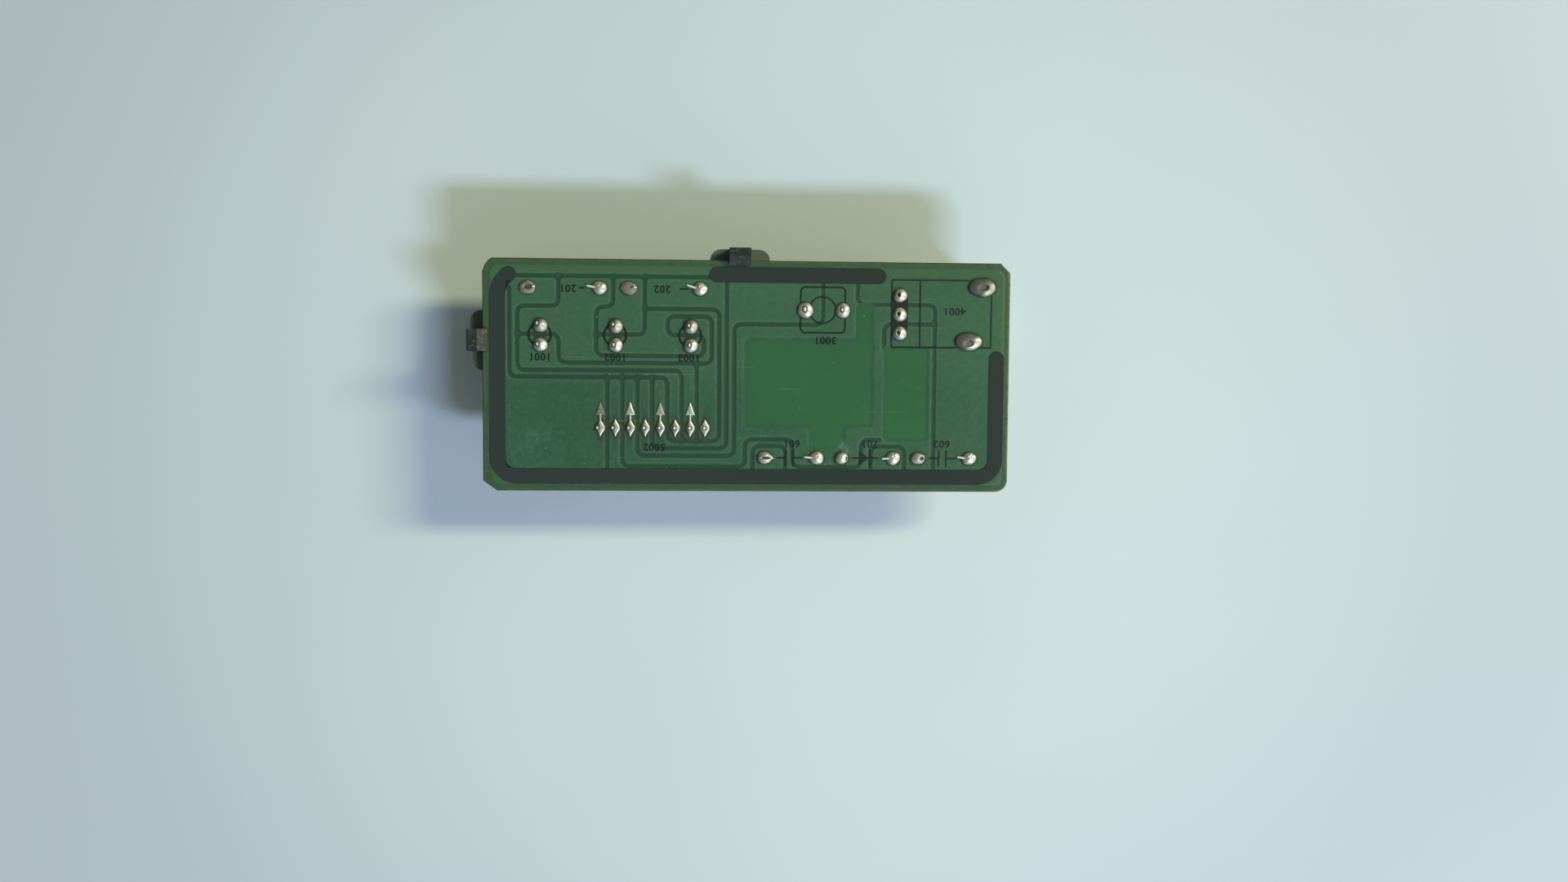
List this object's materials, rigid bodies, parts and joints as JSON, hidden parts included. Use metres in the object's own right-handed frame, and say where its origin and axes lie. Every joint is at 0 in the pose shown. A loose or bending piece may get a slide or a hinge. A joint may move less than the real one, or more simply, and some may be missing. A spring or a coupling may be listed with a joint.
{
  "type": "display board",
  "caption": "Small single-sided display circuit board with indicator lights in a clipped holder, an infrared receiver can, a push switch and a pin header.",
  "frame": {"origin": "middle of the outline, at the height of the surface that the light holder and the receiver can stand on", "axes": "+X along the board's length, from the side hook towards the receiver; +Y towards the edge with the top hook; +Z out of the solder side"},
  "size_m": [0.0728, 0.0326, 0.0128],
  "materials": {
    "laminate": "cut phenolic paper laminate",
    "solder_mask": "green solder mask over copper",
    "ink": "screen-printed ink",
    "holder_plastic": "moulded",
    "led_green": "cast epoxy",
    "led_amber": "cast epoxy",
    "led_red": "cast epoxy",
    "tinned_lead": "tinned",
    "can_tinplate": "tinplate",
    "receiver_epoxy": "cast epoxy",
    "switch_plastic": "moulded",
    "switch_steel": "stamped",
    "plunger_plastic": "moulded",
    "dome_steel": "stamped",
    "header_nylon": "moulded",
    "header_pin": "tinned brass",
    "resistor_lacquer": "lacquered",
    "capacitor_epoxy": "dipped",
    "diode_glass": "glass",
    "solder": "dull wave-soldered joint"
  },
  "bodies": {
    "body": {"board": "laminate", "copper_foil": "solder_mask", "printed_marks": "ink", "light_holder": "holder_plastic", "left_led": "led_green", "middle_led": "led_amber", "right_led": "led_red", "left_led_leads": "tinned_lead", "middle_led_leads": "tinned_lead", "right_led_leads": "tinned_lead", "receiver_can": "can_tinplate", "receiver_body": "receiver_epoxy", "receiver_leads": "tinned_lead", "switch_base": "switch_plastic", "switch_cover": "switch_steel", "switch_dome": "dome_steel", "switch_terminals": "tinned_lead", "header_housing": "header_nylon", "header_pins": "header_pin", "left_resistor": "resistor_lacquer", "left_resistor_leads": "tinned_lead", "right_resistor": "resistor_lacquer", "right_resistor_leads": "tinned_lead", "left_capacitor": "capacitor_epoxy", "left_capacitor_leads": "tinned_lead", "right_capacitor": "capacitor_epoxy", "right_capacitor_leads": "tinned_lead", "diode": "diode_glass", "diode_leads": "tinned_lead", "led_solder": "solder", "header_solder": "solder", "switch_solder": "solder", "receiver_solder": "solder", "can_tab_solder": "solder", "axial_solder": "solder"},
    "plunger": {"switch_plunger": "plunger_plastic"}
  },
  "joints": [
    {"name": "switch_press", "type": "slide", "parent": "body", "child": "plunger", "axis": [0, 0, 1], "range_m": [0, 0.00025], "stiffness_N_per_m": 4000}
  ]
}
